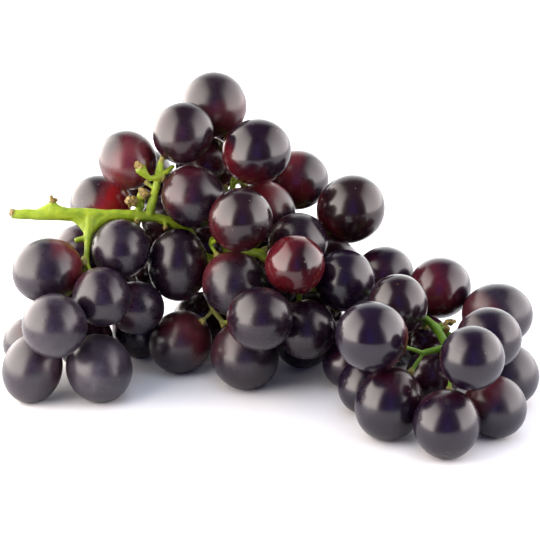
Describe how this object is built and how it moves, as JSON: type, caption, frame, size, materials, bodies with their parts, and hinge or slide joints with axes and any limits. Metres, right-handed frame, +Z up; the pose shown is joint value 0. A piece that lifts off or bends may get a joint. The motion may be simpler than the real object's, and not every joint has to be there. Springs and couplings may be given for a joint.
{
  "type": "bunch of grapes",
  "caption": "Bunch of dark purple table grapes lying on its side: glossy oval berries on short stalks around a branching green stem with a bare cut end.",
  "frame": {"origin": "on the surface that the bunch lies on, under the middle of its box", "axes": "+X along the bunch from the cut stem end to the tail, +Y to its back, +Z up"},
  "size_m": [0.1962, 0.1542, 0.1051],
  "materials": {
    "skin": "dark purple to wine red grape skin, glossy, with a thin pale waxy bloom",
    "stem": "fresh yellow-green stem, satin, with brown dry tips"
  },
  "bodies": {
    "root": {"stem": "stem", "crown_berry_01": "skin", "crown_berry_02": "skin", "crown_berry_03": "skin", "crown_berry_04": "skin", "crown_berry_05": "skin", "crown_berry_06": "skin", "crown_berry_07": "skin", "crown_berry_08": "skin", "middle_berry_01": "skin", "middle_berry_02": "skin", "middle_berry_03": "skin", "middle_berry_04": "skin", "middle_berry_05": "skin", "middle_berry_06": "skin", "middle_berry_07": "skin", "middle_berry_08": "skin", "middle_berry_09": "skin", "middle_berry_10": "skin", "middle_berry_11": "skin", "middle_berry_12": "skin", "middle_berry_13": "skin", "middle_berry_14": "skin", "middle_berry_15": "skin", "middle_berry_16": "skin", "tail_berry_01": "skin", "tail_berry_02": "skin", "tail_berry_03": "skin", "tail_berry_04": "skin", "tail_berry_05": "skin", "tail_berry_06": "skin", "tail_berry_07": "skin", "tail_berry_08": "skin", "tail_berry_09": "skin", "tail_berry_10": "skin", "tail_berry_11": "skin", "tail_berry_12": "skin", "tail_berry_13": "skin", "tail_berry_14": "skin", "tail_berry_15": "skin", "tail_berry_16": "skin", "shoulder_berry_01": "skin", "shoulder_berry_02": "skin", "shoulder_berry_03": "skin", "shoulder_berry_04": "skin", "shoulder_berry_05": "skin", "shoulder_berry_06": "skin", "shoulder_berry_07": "skin", "shoulder_berry_08": "skin", "shoulder_berry_09": "skin", "shoulder_berry_10": "skin", "back_berry_01": "skin", "back_berry_02": "skin", "back_berry_03": "skin", "back_berry_04": "skin", "back_berry_05": "skin", "back_berry_06": "skin", "back_berry_07": "skin", "back_berry_08": "skin", "back_berry_09": "skin"}
  },
  "joints": []
}
